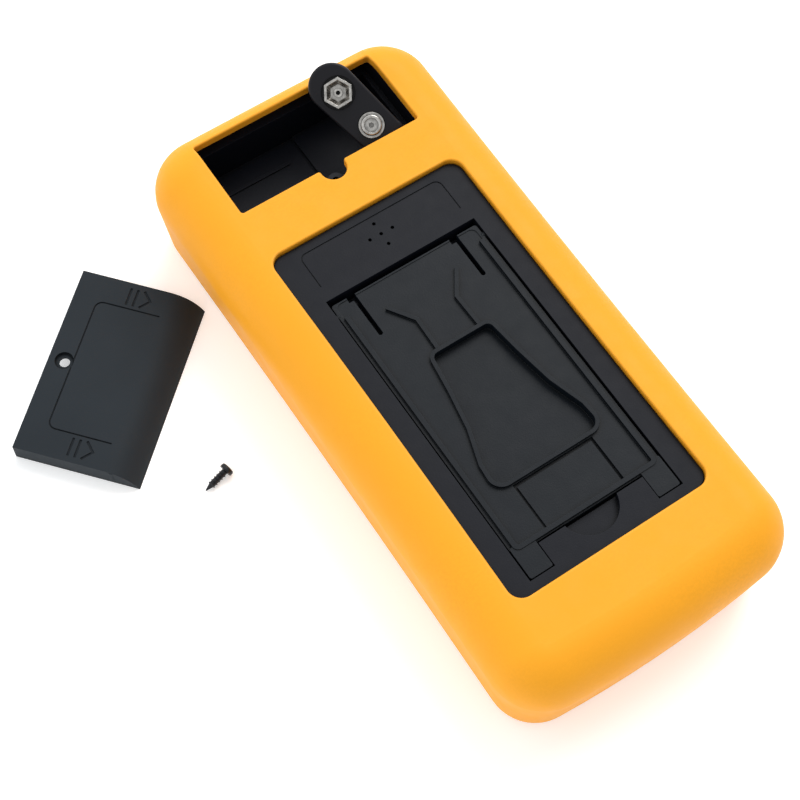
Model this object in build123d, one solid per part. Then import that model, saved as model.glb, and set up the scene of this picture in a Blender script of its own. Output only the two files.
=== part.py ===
from build123d import *
import math
import os

# A hand-held digital multimeter in a rubber holster, lying on its front with the battery
# compartment open. Millimetres. The origin is the centre of the meter's footprint, on the
# plane of the holster's front rim. +Z comes out of the back, +Y points to the battery end.

# ---- meter, overall ----
LENGTH = 189.4
WIDTH = 88.1
THICKNESS = 38.0
CORNER_R = 15.0
END_CROWN = 2.6          # bulge of the -Y end
TOP_CROWN = 0.2          # bulge of the +Y end
WAIST = 0.7              # how far each long side draws in at its middle
WIDEST_Z = 24.4
FRONT_DRAFT = 2.8        # how much narrower the form is at the rim than at its widest
BACK_DRAFT = 0.3
FRONT_EDGE_R = 5.5
BACK_EDGE_R = 12.6

# ---- holster ----
HOLSTER_WALL = 2.5
HOLSTER_BACK = 2.6
HOLSTER_RIM = 3.8
RIM_OPENING_INSET = 10.4
STAND_WINDOW_Y = (-68.1, 45.9)
STAND_WINDOW_HALF = 30.2
STAND_WINDOW_WAIST = 0.35
STAND_WINDOW_R = 4.0
BATTERY_WINDOW_Y = (61.6, 87.4)
BATTERY_WINDOW_HALF = 28.5
NOTCH_R = 3.8
NOTCH_Y = 60.7
NOTCH_ENTRY_R = 0.7
WINDOW_EDGE_R = 0.5

# ---- casing ----
FIT = 0.1
CASE_INSET = HOLSTER_WALL + FIT
CASE_WALL = 1.8
SCREW_SEAT_Z = 26.4
CASE_FRONT_Z = HOLSTER_RIM + FIT
CASE_BACK_Z = THICKNESS - HOLSTER_BACK - FIT
SPLIT_Z = 19.0
SPLIT_GAP = 0.05
PANEL_Z = CASE_BACK_Z + 0.9
PANEL_GAP = 0.3
CASE_FRONT_R = 2.6
CASE_BACK_R = BACK_EDGE_R - CASE_INSET
FACE_INNER_Z = CASE_FRONT_Z + 2.0

# ---- tilt stand ----
STAND_HALF = 23.2
STAND_TOP_Y = 25.9
STAND_PLATE_END_Y = -57.2
STAND_FOOT_END_Y = -64.5
FOOT_INNER_X = 16.4
STAND_GAP = 0.5
STAND_UNDER_Z = PANEL_Z - 3.7
STAND_FOOT_Z = PANEL_Z - 0.1
STAND_FLANGE_Z = PANEL_Z - 0.7
STAND_PLATE_Z = PANEL_Z - 0.9
RIDGE_TOP_Z = PANEL_Z + 0.15
RIDGE_W = 1.1
FRAME_W = 1.3
FRAME_INSET = 1.0
FRAME_OPEN = 5.0         # the frame stops this far below the hinge edge
BELL_DEPTH = 1.9
TONGUE_GROOVE_W = 0.8
HINGE_Y = 22.3
HINGE_Z = PANEL_Z - 1.9
HINGE_PIN_R = 1.3
HINGE_PIN_LEN = 1.9
HINGE_CLEAR = 0.06
SLOT_X = 16.4
SLOT_W = 1.3
SLOT_END_Y = 11.9
SLOT_STEP = 2.0
POCKET_FLOOR_Z = STAND_UNDER_Z - 0.4
POCKET_SKIN = 1.5
FINGER_R = 8.2
FINGER_DEPTH = 2.2
GRILLE_R = 0.5

# ---- battery bay and door ----
DOOR_W = 56.8
DOOR_LEN = 36.0
DOOR_FLAT = 26.0
DOOR_CURVE_R = 10.4
DOOR_DEPTH = 6.4
DOOR_T = 1.8
DOOR_SKIRT_T = 1.4
DOOR_END_Y = 90.7
DOOR_GAP = 0.15
DOOR_Y0 = DOOR_END_Y - DOOR_LEN
DOOR_HOLE_IN = 4.5
BAY_HALF = 27.2
BAY_Y0 = 57.4
BAY_Y1 = 87.8
BAY_FLOOR_Z = 15.2
BAY_SKIN = 1.4
TUB_GAP = 0.25           # between the bay's tub and the front case round it

# where the loose door and its screw lie beside the meter
DOOR_REST = (-77.1, 55.0)
DOOR_YAW = -139.0
SCREW_REST = (-65.2, 14.35)
SCREW_YAW = 13.1
HEAD_R = 1.95
HEAD_T = 1.35
HEAD_Z = 7.5
THREAD_R = 1.25
THREAD_START = 2.2

# ---- battery snap ----
SNAP_PITCH = 12.7
SNAP_HALF_W = 6.6
SNAP_T = 3.6
SNAP_TILT = 22.0         # how far its far end is raised
SNAP_YAW = 18.6
SNAP_ROLL = 28.0         # how far its left edge hangs
SNAP_PIVOT = (19.5, 63.5, 32.0)
SNAP_END_R = 1.8
HEX_ACROSS = 7.5
HEX_TURN = 45.0
STUD_R = 2.9

# ---- front and inside ----
PCB_Z = 13.4
PCB_T = 1.6
PCB_BACK_Z = PCB_Z + PCB_T
DIAL_Y = -17.0
DISH_R = 24.0
DISH_Z = CASE_FRONT_Z + 2.4
KNOB_R = 20.5
KNOB_TOP_Z = 0.9
HUB_R = 5.0
HUB_CLEAR = 0.08
POSITIONS = 20
WIPER_RINGS = (6.4, 9.2, 12.0)
LCD_Y = 59.0
JACK_Y = -70.0
JACK_X = (28.5, 9.5, -9.5, -28.5)
JACK_BORE_R = 2.0
JACK_R = 3.0
JACK_DEPTH = 12.0
JACK_RELIEF = 0.8
JACK_MOUTH_Z = 4.6
BUTTON_X = 27.0
BUTTON_Y = 33.0
BUTTON_TRAVEL = 2.0
SOCKET_X = 25.5
SOCKET_Y = 17.5
CASE_SCREWS = ((-33.0, 83.4), (33.0, 83.4), (-31.0, -82.5), (31.0, -82.5))
PCB_SCREWS = ((-33.0, 4.0), (33.0, 4.0), (-33.0, -56.0), (33.0, -56.0))
BUZZER_Y = 37.0


def box(x0, x1, y0, y1, z0, z1):
    """A block between two corners."""
    return Pos((x0 + x1) / 2, (y0 + y1) / 2, (z0 + z1) / 2) * Box(x1 - x0, y1 - y0, z1 - z0)


def rod(x, y, z0, z1, r):
    """A round bar along Z."""
    return Pos(x, y, (z0 + z1) / 2) * Cylinder(r, z1 - z0)


def bar_x(x0, x1, y, z, r):
    """A round bar along X."""
    return Pos((x0 + x1) / 2, y, z) * Rot(0, 90, 0) * Cylinder(r, x1 - x0)


def ring(x, y, z0, z1, r_in, r_out):
    """A flat ring or tube about Z."""
    return rod(x, y, z0, z1, r_out) - rod(x, y, z0 - 1, z1 + 1, r_in)


def prism(sketch, z0, z1):
    """A sketch drawn on the ground, raised between two heights."""
    return Pos(0, 0, z0) * extrude(sketch, z1 - z0)


def plan(inset):
    """The meter's outline, seen from above, drawn in by a distance."""
    hx = WIDTH / 2 - inset
    top = LENGTH / 2 - inset
    shoulder = top - TOP_CROWN
    heel = -top + END_CROWN
    face = make_face([
        ThreePointArc((-hx, shoulder), (0, top), (hx, shoulder)),
        ThreePointArc((hx, shoulder), (hx - WAIST, 0), (hx, heel)),
        ThreePointArc((hx, heel), (0, -top), (-hx, heel)),
        ThreePointArc((-hx, heel), (-hx + WAIST, 0), (-hx, shoulder)),
    ])
    return fillet(face.vertices(), CORNER_R - inset)


def skin_form():
    """The holster's outside: two drafted walls that meet at the widest height, with rounded edges."""
    middle = plan(0)
    front_angle = math.degrees(math.atan(FRONT_DRAFT / WIDEST_Z))
    back_angle = math.degrees(math.atan(BACK_DRAFT / (THICKNESS - WIDEST_Z)))
    below = extrude(middle, WIDEST_Z, taper=front_angle)
    above = mirror(extrude(middle, THICKNESS - WIDEST_Z, taper=back_angle), Plane.XY)
    body = Pos(0, 0, WIDEST_Z) * above + Pos(0, 0, WIDEST_Z) * below
    body = fillet(body.faces().sort_by(Axis.Z)[-1].edges(), BACK_EDGE_R)
    return fillet(body.faces().sort_by(Axis.Z)[0].edges(), FRONT_EDGE_R)


def form(inset, z_front, z_back, r_front, r_back):
    """A shell's form inside the holster, a constant distance from the holster's skin."""
    front = inset + FRONT_DRAFT * (WIDEST_Z - z_front) / WIDEST_Z
    back = inset + BACK_DRAFT * (z_back - WIDEST_Z) / (THICKNESS - WIDEST_Z)
    levels = ((front, z_front), (inset, WIDEST_Z), (back, z_back))
    body = loft([Pos(0, 0, z) * plan(i) for i, z in levels], ruled=True)
    body = fillet(body.faces().sort_by(Axis.Z)[-1].edges(), r_back)
    return fillet(body.faces().sort_by(Axis.Z)[0].edges(), r_front)


def rounded(x0, x1, y0, y1, r):
    """A rectangle with rounded corners."""
    return Pos((x0 + x1) / 2, (y0 + y1) / 2) * RectangleRounded(x1 - x0, y1 - y0, r)


def waisted_window(inset):
    """The tall window over the tilt stand: straight ends, sides drawn in a little."""
    y0, y1 = STAND_WINDOW_Y
    h = STAND_WINDOW_HALF
    mid = (y0 + y1) / 2
    w = h - STAND_WINDOW_WAIST
    face = make_face([
        Line((-h, y1), (h, y1)),
        ThreePointArc((h, y1), (w, mid), (h, y0)),
        Line((h, y0), (-h, y0)),
        ThreePointArc((-h, y0), (-w, mid), (-h, y1)),
    ])
    face = fillet(face.vertices(), STAND_WINDOW_R)
    return offset(face, -inset) if inset else face


def holster():
    """Moulded rubber boot: back with two windows, four sides, and a rim that folds over the front."""
    skin = skin_form()
    inner_back_z = THICKNESS - HOLSTER_BACK
    skin -= form(HOLSTER_WALL, HOLSTER_RIM, inner_back_z, CASE_FRONT_R, BACK_EDGE_R - HOLSTER_WALL)
    skin -= prism(plan(RIM_OPENING_INSET), -1, HOLSTER_RIM + 2)
    skin -= prism(waisted_window(0), THICKNESS - 6, THICKNESS + 1)
    y0, y1 = BATTERY_WINDOW_Y
    h = BATTERY_WINDOW_HALF
    window = make_face([
        Line((-h, y1), (h, y1)),
        Line((h, y1), (h, y0)),
        Line((h, y0), (NOTCH_R, y0)),
        Line((NOTCH_R, y0), (NOTCH_R, NOTCH_Y)),
        ThreePointArc((NOTCH_R, NOTCH_Y), (0, NOTCH_Y - NOTCH_R), (-NOTCH_R, NOTCH_Y)),
        Line((-NOTCH_R, NOTCH_Y), (-NOTCH_R, y0)),
        Line((-NOTCH_R, y0), (-h, y0)),
        Line((-h, y0), (-h, y1)),
    ])
    corners = [v for v in window.vertices() if abs(v.X) > NOTCH_R + 1]
    window = fillet(corners, 0.8)
    entries = [v for v in window.vertices() if abs(v.X) < NOTCH_R + 0.1 and v.Y > y0 - 0.1]
    window = fillet(entries, NOTCH_ENTRY_R)
    skin -= prism(window, THICKNESS - 9, THICKNESS + 1)
    return soften_windows(skin)


def soften_windows(skin):
    """Rounds the outer edges of both windows."""
    half = STAND_WINDOW_HALF + 1
    stand_y = (STAND_WINDOW_Y[0] - 1, STAND_WINDOW_Y[1] + 1)
    battery_y = (NOTCH_Y - NOTCH_R - 1, BATTERY_WINDOW_Y[1] + 1)
    edges = []
    for edge in skin.edges():
        c = edge.center()
        near = stand_y[0] < c.Y < stand_y[1] or battery_y[0] < c.Y < battery_y[1]
        if near and abs(c.X) < half and c.Z > THICKNESS - 1.2:
            edges.append(edge)
    return fillet(edges, WINDOW_EDGE_R)


def bell():
    """Half outline of the bell-shaped recess in the stand, mirrored about the centre line."""
    right = [(9.0, -0.6), (10.4, -11.5), (12.4, -23.0), (15.6, -33.0), (16.2, -40.2)]
    points = right + [(-x, y) for x, y in reversed(right)]
    face = make_face(Polyline(*points, close=True))
    face = fillet(face.vertices().sort_by(Axis.Y)[:2], 3.0)
    return fillet(face.vertices().sort_by(Axis.Y)[-2:], 1.8)


def ridge_path(points):
    """A raised rib along a polyline on the stand's plate."""
    return trace(Polyline(*points), RIDGE_W)


def tilt_stand():
    """Folding stand: plate with raised ribs, bell-shaped recess, two feet and two snap-in pins."""
    h = STAND_HALF
    plate = rounded(-h, h, STAND_PLATE_END_Y, STAND_TOP_Y, 0.8)
    stand = prism(plate, STAND_UNDER_Z, STAND_FLANGE_Z)
    for side in (-1, 1):
        x0, x1 = sorted((side * FOOT_INNER_X, side * h))
        foot = rounded(x0, x1, STAND_FOOT_END_Y, STAND_PLATE_END_Y + 2, 0.6)
        stand += prism(foot, STAND_UNDER_Z + 0.6, STAND_FOOT_Z)
    edge = h - FRAME_INSET
    inner = rounded(-edge, edge, STAND_PLATE_END_Y + 0.4, STAND_TOP_Y - 0.5, 1.8)
    stand -= prism(inner, STAND_PLATE_Z, PANEL_Z + 1)
    frame = inner - offset(inner, -FRAME_W)
    frame -= Pos(0, STAND_TOP_Y) * Rectangle(2 * h, 2 * FRAME_OPEN)
    stand += prism(frame, STAND_PLATE_Z - 0.2, RIDGE_TOP_Z)
    for side in (-1, 1):
        neck = ridge_path([(side * 11.2, 17.6), (side * 6.3, 10.4), (side * 6.6, 0.0)])
        stand += prism(neck, STAND_PLATE_Z - 0.2, RIDGE_TOP_Z - 0.15)
    rim = offset(bell(), RIDGE_W) - bell()
    stand += prism(rim, STAND_PLATE_Z - 0.2, RIDGE_TOP_Z - 0.1)
    stand -= prism(bell(), STAND_PLATE_Z - BELL_DEPTH, PANEL_Z + 1)
    tongue = rounded(-12.4, 12.4, STAND_PLATE_END_Y + 1.5, -41.6, 0.4)
    stand -= prism(tongue, STAND_PLATE_Z - 0.25, STAND_PLATE_Z + 0.01)
    bottom = STAND_PLATE_END_Y + 1.9
    groove = trace(Polyline((-12.0, bottom), (-12.0, -42.0), (12.0, -42.0), (12.0, bottom)), TONGUE_GROOVE_W)
    stand -= prism(groove, STAND_PLATE_Z - 0.9, STAND_PLATE_Z + 0.01)
    for side in (-1, 1):
        x = side * SLOT_X
        slot = rounded(x - SLOT_W / 2, x + SLOT_W / 2, SLOT_END_Y, STAND_TOP_Y + 2, 0.6)
        slot += Pos(x - SLOT_STEP / 2, STAND_TOP_Y) * Rectangle(SLOT_STEP, 3.2)
        stand -= prism(slot, STAND_UNDER_Z - 1, PANEL_Z + 1)
        pin = sorted((side * (h - 0.5), side * (h + HINGE_PIN_LEN)))
        stand += bar_x(*pin, HINGE_Y, HINGE_Z, HINGE_PIN_R)
    return stand


def stand_pocket():
    """The space the stand folds into, deeper where its top edge swings, with a finger recess."""
    h = STAND_HALF + STAND_GAP
    y_top = STAND_TOP_Y + 1.6
    pocket = box(-h, h, STAND_PLATE_END_Y - 0.6, y_top, POCKET_FLOOR_Z, PANEL_Z + 1)
    pocket += box(-h, h, HINGE_Y - 4.6, y_top, HINGE_Z - 4.5, PANEL_Z + 1)
    for side in (-1, 1):
        x0, x1 = sorted((side * (FOOT_INNER_X - 0.25), side * h))
        pocket += box(x0, x1, STAND_FOOT_END_Y - 0.35, STAND_PLATE_END_Y, POCKET_FLOOR_Z, PANEL_Z + 1)
    pocket += rod(0, -56.2, PANEL_Z - FINGER_DEPTH, PANEL_Z + 1, FINGER_R)
    return pocket


def rear_case():
    """Back half of the casing, with the stand's pocket, the battery bay and the speaker grille."""
    outer = form(CASE_INSET, CASE_FRONT_Z, CASE_BACK_Z, CASE_FRONT_R, CASE_BACK_R)
    inner_inset = CASE_INSET + CASE_WALL
    hollow = form(inner_inset, CASE_FRONT_Z + CASE_WALL, CASE_BACK_Z - 2.0, 1.2, CASE_BACK_R - CASE_WALL)
    back = box(-60, 60, -110, 110, SPLIT_Z + SPLIT_GAP, 60)
    case = (outer - hollow) & back
    case += prism(waisted_window(PANEL_GAP), CASE_BACK_Z - 1.0, PANEL_Z)
    h = STAND_HALF + STAND_GAP + 2.2
    y0 = STAND_FOOT_END_Y - 2.0
    y1 = STAND_TOP_Y + 3.4
    case += box(-h, h, y0, y1, POCKET_FLOOR_Z - POCKET_SKIN, CASE_BACK_Z - 0.5)
    case += box(-h, h, HINGE_Y - 6.4, y1, HINGE_Z - 4.5 - POCKET_SKIN, CASE_BACK_Z - 0.5)
    tub = BAY_HALF + 2.6
    upper = box(-tub, tub, DOOR_Y0 - 1.6, 100, SPLIT_Z + SPLIT_GAP, CASE_BACK_Z)
    lower = box(-tub, tub, DOOR_Y0 - 1.6, 100, BAY_FLOOR_Z - BAY_SKIN, SPLIT_Z + SPLIT_GAP + 0.1)
    case += upper & outer
    tub_inset = inner_inset + FRONT_DRAFT * (WIDEST_Z - BAY_FLOOR_Z + BAY_SKIN) / WIDEST_Z + TUB_GAP
    case += lower & prism(plan(tub_inset), 0, THICKNESS)
    for x, y in CASE_SCREWS:
        case += rod(x, y, SPLIT_Z + SPLIT_GAP, CASE_BACK_Z, 3.9) & outer
    for x, y in CASE_SCREWS:
        case -= rod(x, y, SPLIT_Z - 1, CASE_BACK_Z + 1, 1.6)
        case -= rod(x, y, SCREW_SEAT_Z, CASE_BACK_Z + 1, 3.1)
    case -= stand_pocket()
    case -= bar_x(-h + 0.3, h - 0.3, HINGE_Y, HINGE_Z, HINGE_PIN_R + HINGE_CLEAR)
    case = cut_battery_bay(case)
    case += ring(0, BUZZER_Y, CASE_BACK_Z - 3.8, CASE_BACK_Z - 1.5, 6.6, 7.3)
    return cut_back_details(case)


def cut_battery_bay(case):
    """Opens the bay to the back and to the end, leaving a ledge, a screw post and floor ribs."""
    case -= box(-BAY_HALF, BAY_HALF, BAY_Y0, BAY_Y1, BAY_FLOOR_Z, CASE_BACK_Z + 1)
    seat = DOOR_W / 2 + DOOR_GAP
    floor = CASE_BACK_Z - DOOR_DEPTH - DOOR_GAP
    case -= box(-seat, seat, BAY_Y0, 100, floor, CASE_BACK_Z + 2)
    case -= box(-seat, seat, DOOR_Y0 - DOOR_GAP, BAY_Y0 + 0.5, CASE_BACK_Z - DOOR_T - 0.1, CASE_BACK_Z + 2)
    for side in (-1, 1):
        x0, x1 = sorted((side * (seat - DOOR_SKIRT_T - 2 * DOOR_GAP), side * seat))
        case -= box(x0, x1, DOOR_Y0 - DOOR_GAP, BAY_Y0 + 0.5, floor, CASE_BACK_Z + 2)
    post_top = CASE_BACK_Z - DOOR_T - 0.1
    hole_y = DOOR_Y0 + DOOR_HOLE_IN
    case += rod(0, hole_y, BAY_FLOOR_Z - 0.5, post_top, 2.4)
    case -= rod(0, hole_y, post_top - 9, post_top + 1, 1.05)
    case += box(3.0, BAY_HALF + 0.1, BAY_Y0 - 0.1, BAY_Y1 + 0.1, BAY_FLOOR_Z - 0.3, BAY_FLOOR_Z + 0.8)
    for y in (67.0, 74.0, 81.0):
        case += box(-BAY_HALF - 0.1, -2.0, y - 0.5, y + 0.5, BAY_FLOOR_Z - 0.3, BAY_FLOOR_Z + 0.5)
    return case


def cut_back_details(case):
    """The grille's five holes and the shallow line round the label area."""
    for dx, dy in ((0, 0), (3.6, 0), (-3.6, 0), (0, 3.6), (0, -3.6)):
        case -= rod(dx, BUZZER_Y + dy, 28, PANEL_Z + 1, GRILLE_R)
    label = FilletPolyline((-22.4, 32.0), (-22.4, 42.8), (22.4, 42.8), (22.4, 32.0), radius=2.0)
    return case - prism(trace(label, 0.35), PANEL_Z - 0.25, PANEL_Z + 1)


def front_case():
    """Front half of the casing, with the openings for display, dial, buttons, sockets and jacks."""
    outer = form(CASE_INSET, CASE_FRONT_Z, CASE_BACK_Z, CASE_FRONT_R, CASE_BACK_R)
    hollow = form(CASE_INSET + CASE_WALL, FACE_INNER_Z, CASE_BACK_Z - 2.0, 1.2, CASE_BACK_R - CASE_WALL)
    case = (outer - hollow) & box(-60, 60, -110, 110, -5, SPLIT_Z)
    case += rod(0, DIAL_Y, FACE_INNER_Z - 0.5, DISH_Z + 1.9, DISH_R + 1.8)
    case -= rod(0, DIAL_Y, 0, DISH_Z, DISH_R)
    case -= rod(0, DIAL_Y, 0, 20, HUB_R + HUB_CLEAR)
    case += detent_ring()
    case -= prism(rounded(-33, 33, LCD_Y - 19, LCD_Y + 19, 2), 0, CASE_FRONT_Z + 1.0)
    case -= prism(rounded(-30.5, 30.5, LCD_Y - 16.5, LCD_Y + 16.5, 1.5), 0, 12)
    case -= prism(label_outline(), 0, CASE_FRONT_Z + 0.3)
    for side in (-1, 1):
        x = side * BUTTON_X
        case -= prism(rounded(x - 5, x + 5, BUTTON_Y - 3, BUTTON_Y + 3, 1.0), 0, 12)
    for x in JACK_X:
        case += rod(x, JACK_Y, FACE_INNER_Z - 0.5, 12.2, 5.2)
        case -= rod(x, JACK_Y, 0, 14, JACK_R + 0.05)
        case -= rod(x, JACK_Y, 0, CASE_FRONT_Z + 0.9, 5.1)
    case -= rod(-SOCKET_X, SOCKET_Y, 0, 12, 6.3)
    case -= prism(rounded(SOCKET_X - 6.6, SOCKET_X + 6.6, SOCKET_Y - 3.6, SOCKET_Y + 3.6, 1.0), 0, 12)
    for x, y in CASE_SCREWS:
        case += rod(x, y, FACE_INNER_Z - 0.5, SPLIT_Z, 3.2) & outer
        case -= rod(x, y, 9, SPLIT_Z + 1, 1.3)
    for x, y in PCB_SCREWS:
        case += rod(x, y, FACE_INNER_Z - 0.5, PCB_Z - 0.02, 2.4)
        case -= rod(x, y, 8, PCB_Z + 1, 1.0)
    return case


def label_outline():
    """The printed panel's outline, below the display."""
    return rounded(-33, 33, -80, 39.0, 4)


def detent_ring():
    """Scalloped ring on the inside of the front, one notch for each position of the dial."""
    z0 = DISH_Z + 1.4
    z1 = DISH_Z + 4.6
    grooves = ring(0, DIAL_Y, z0, z1, 16.2, 17.8)
    for i in range(POSITIONS):
        a = math.radians(360 / POSITIONS * i)
        grooves -= rod(16.6 * math.cos(a), DIAL_Y + 16.6 * math.sin(a), z0 - 1, z1 + 1, 1.0)
    return grooves


def front_label():
    """Thin printed panel let into the front face, with its holes."""
    sheet = label_outline()
    sheet = offset(sheet, -0.1)
    sheet -= Pos(0, DIAL_Y) * Circle(DISH_R + 0.3)
    for side in (-1, 1):
        sheet -= Pos(side * BUTTON_X, BUTTON_Y) * RectangleRounded(11, 7, 1.2)
    for x in JACK_X:
        sheet -= Pos(x, JACK_Y) * Circle(5.3)
    sheet -= Pos(-SOCKET_X, SOCKET_Y) * Circle(6.6)
    sheet -= Pos(SOCKET_X, SOCKET_Y) * RectangleRounded(13.8, 7.8, 1.2)
    return prism(sheet, CASE_FRONT_Z, CASE_FRONT_Z + 0.3)


def display_window():
    """Clear lens over the display."""
    lens = prism(rounded(-32.9, 32.9, LCD_Y - 18.9, LCD_Y + 18.9, 1.9), CASE_FRONT_Z, CASE_FRONT_Z + 0.95)
    return chamfer(lens.faces().sort_by(Axis.Z)[0].edges(), 0.25)


def lcd_glass():
    """Display: two glass plates, the rear one longer for its contacts."""
    front_plate = box(-31, 31, LCD_Y - 14.5, LCD_Y + 17.4, FACE_INNER_Z + 0.2, FACE_INNER_Z + 1.6)
    rear_plate = box(-31, 31, LCD_Y - 17.4, LCD_Y + 17.4, FACE_INNER_Z + 1.6, FACE_INNER_Z + 3.0)
    return front_plate + rear_plate


def lcd_frame():
    """Moulded frame that holds the display against the front."""
    outer = rounded(-33.5, 33.5, LCD_Y - 19.6, LCD_Y + 19.6, 1.5)
    hole = Pos(0, LCD_Y) * Rectangle(62.3, 35.1)
    frame = prism(outer - hole, FACE_INNER_Z + 0.05, FACE_INNER_Z + 3.2)
    lip = outer - Pos(0, LCD_Y + 3) * Rectangle(58, 34)
    return frame + prism(lip, FACE_INNER_Z + 3.1, FACE_INNER_Z + 4.0)


def zebra_strip():
    """Elastomer strip that joins the display's contacts to the board."""
    y = LCD_Y - 12.6
    return box(-28, 28, y - 0.9, y + 0.9, FACE_INNER_Z + 3.02, PCB_Z - 0.02)


def circuit_board():
    """Main board, behind the dial and below the battery bay."""
    outline = rounded(-36.2, 36.2, -77.5, DOOR_Y0 - 2.6, 4)
    for x, y in CASE_SCREWS:
        outline -= Pos(x, y) * Circle(4.6)
    for x, y in PCB_SCREWS:
        outline -= Pos(x, y) * Circle(1.2)
    for x in JACK_X:
        outline -= Pos(x, JACK_Y) * Circle(JACK_R + 0.1)
    outline -= Pos(0, DIAL_Y) * Circle(1.6)
    return prism(outline, PCB_Z, PCB_BACK_Z)


def switch_pads():
    """Gilded contact rings that the dial's wipers run on."""
    pads = []
    for r in WIPER_RINGS:
        pads.append(ring(0, DIAL_Y, PCB_Z - 0.1, PCB_Z, r - 0.8, r + 0.8))
    return Compound(children=pads)


def rotary_knob():
    """Dial: skirted disc with a raised grip bar and a hub that passes through the front."""
    knob = rod(0, DIAL_Y, 2.9, DISH_Z - 0.25, KNOB_R)
    knob = fillet(knob.faces().sort_by(Axis.Z)[0].edges(), 1.2)
    bar = prism(Pos(0, DIAL_Y) * RectangleRounded(9.5, 39, 4.6), KNOB_TOP_Z, 3.6)
    bar = fillet(bar.faces().sort_by(Axis.Z)[0].edges(), 1.0)
    knob += bar
    for i in range(36):
        a = math.radians(10 * i + 5)
        knob -= rod((KNOB_R + 0.35) * math.cos(a), DIAL_Y + (KNOB_R + 0.35) * math.sin(a), 4.2, 8, 0.8)
    knob -= box(-0.5, 0.5, DIAL_Y + 9, DIAL_Y + 18, KNOB_TOP_Z - 1, KNOB_TOP_Z + 0.4)
    knob += rod(0, DIAL_Y, DISH_Z - 0.5, 12.0, HUB_R)
    knob -= rod(0, DIAL_Y, 9.4, 13, 1.0)
    return knob


def rotor_carrier():
    """Rotor behind the front that carries the wipers and the detent balls."""
    z0 = DISH_Z + 2.0
    rotor = ring(0, DIAL_Y, z0, z0 + 2.6, HUB_R + 0.02, 15.2)
    for side in (-1, 1):
        x0, x1 = sorted((side * 9.0, side * 16))
        rotor -= bar_x(x0, x1, DIAL_Y, z0 + 1.3, 1.0)
        rotor -= box(x0, x1, DIAL_Y - 1.0, DIAL_Y + 1.0, z0 - 1, z0 + 1.3)
    return rotor


def rotor_screw():
    """Screw and washer head that hold the rotor to the dial's hub."""
    return rod(0, DIAL_Y, 12.02, 13.2, 2.4) + rod(0, DIAL_Y, 9.6, 12.1, 0.95)


def detent_balls():
    """Two steel balls that click into the notches."""
    z = DISH_Z + 2.0 + 1.3
    return Compound(children=[Pos(s * 15.1, DIAL_Y, z) * Sphere(0.95) for s in (-1, 1)])


def detent_springs():
    """Two small springs behind the balls."""
    coils = []
    for side in (-1, 1):
        wire = Helix(pitch=1.0, height=4.6, radius=0.7)
        section = Plane(origin=wire @ 0, z_dir=wire % 0) * Circle(0.16)
        coil = sweep(section, path=wire)
        coils.append(Pos(side * 9.2, DIAL_Y, DISH_Z + 3.3) * Rot(0, side * 90, 0) * coil)
    return Compound(children=coils)


def wiper_contacts():
    """Three sprung bronze bridges, each touching the board's rings."""
    top = DISH_Z + 4.6
    tip = PCB_Z - 0.15
    bridges = []
    for i, r in enumerate(WIPER_RINGS):
        a = 90 + 120 * i
        leaf = box(r - 0.7, r + 0.7, -3.4, 3.4, top, top + 0.3)
        leaf += box(r - 0.7, r + 0.7, -3.4, -3.0, top, tip)
        leaf += box(r - 0.7, r + 0.7, 3.0, 3.4, top, tip)
        bridges.append(Pos(0, DIAL_Y) * Rot(0, 0, a) * leaf)
    return Compound(children=bridges)


def push_button(x):
    """Button cap with a flange that keeps it behind the front, and a stem to the switch."""
    cap = prism(rounded(x - 4.9, x + 4.9, BUTTON_Y - 2.9, BUTTON_Y + 2.9, 0.95), 1.2, FACE_INNER_Z + 0.6)
    cap = fillet(cap.faces().sort_by(Axis.Z)[0].edges(), 0.7)
    cap += box(x - 6, x + 6, BUTTON_Y - 3.8, BUTTON_Y + 3.8, FACE_INNER_Z + 0.1, FACE_INNER_Z + 0.9)
    return cap + rod(x, BUTTON_Y, FACE_INNER_Z + 0.5, FACE_INNER_Z + 4.0, 1.5)


def button_switch(x):
    """Switch block on the board, with a well for the button's stem."""
    block = box(x - 4.2, x + 4.2, BUTTON_Y - 4.2, BUTTON_Y + 4.2, FACE_INNER_Z + 3.3, PCB_Z - 0.02)
    return block - rod(x, BUTTON_Y, FACE_INNER_Z + 3.0, PCB_Z - 0.7, 1.58)


def input_jack(x):
    """Blind brass tube for a 4 mm plug, standing through the board, its bore relieved at the end."""
    bore_end = JACK_MOUTH_Z + JACK_DEPTH
    tube = rod(x, JACK_Y, JACK_MOUTH_Z, bore_end + JACK_RELIEF + 0.8, JACK_R)
    tube += ring(x, JACK_Y, PCB_BACK_Z + 0.02, PCB_BACK_Z + 0.8, JACK_R - 0.2, JACK_R + 1.4)
    tube -= rod(x, JACK_Y, JACK_MOUTH_Z - 1, bore_end, JACK_BORE_R)
    return tube - rod(x, JACK_Y, bore_end, bore_end + JACK_RELIEF, JACK_BORE_R + 0.3)


def jack_collar(x):
    """Coloured ring round a jack's mouth."""
    collar = ring(x, JACK_Y, CASE_FRONT_Z - 0.4, CASE_FRONT_Z + 0.8, 3.3, 5.0)
    return chamfer(collar.faces().sort_by(Axis.Z)[0].edges(), 0.3)


def transistor_socket():
    """Round test socket with eight small holes."""
    socket = rod(-SOCKET_X, SOCKET_Y, CASE_FRONT_Z - 0.3, 10.0, 6.2)
    for i in range(8):
        a = math.radians(45 * i + 22.5)
        socket -= rod(-SOCKET_X + 3.6 * math.cos(a), SOCKET_Y + 3.6 * math.sin(a), 0, 8.5, 0.5)
    return socket


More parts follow.
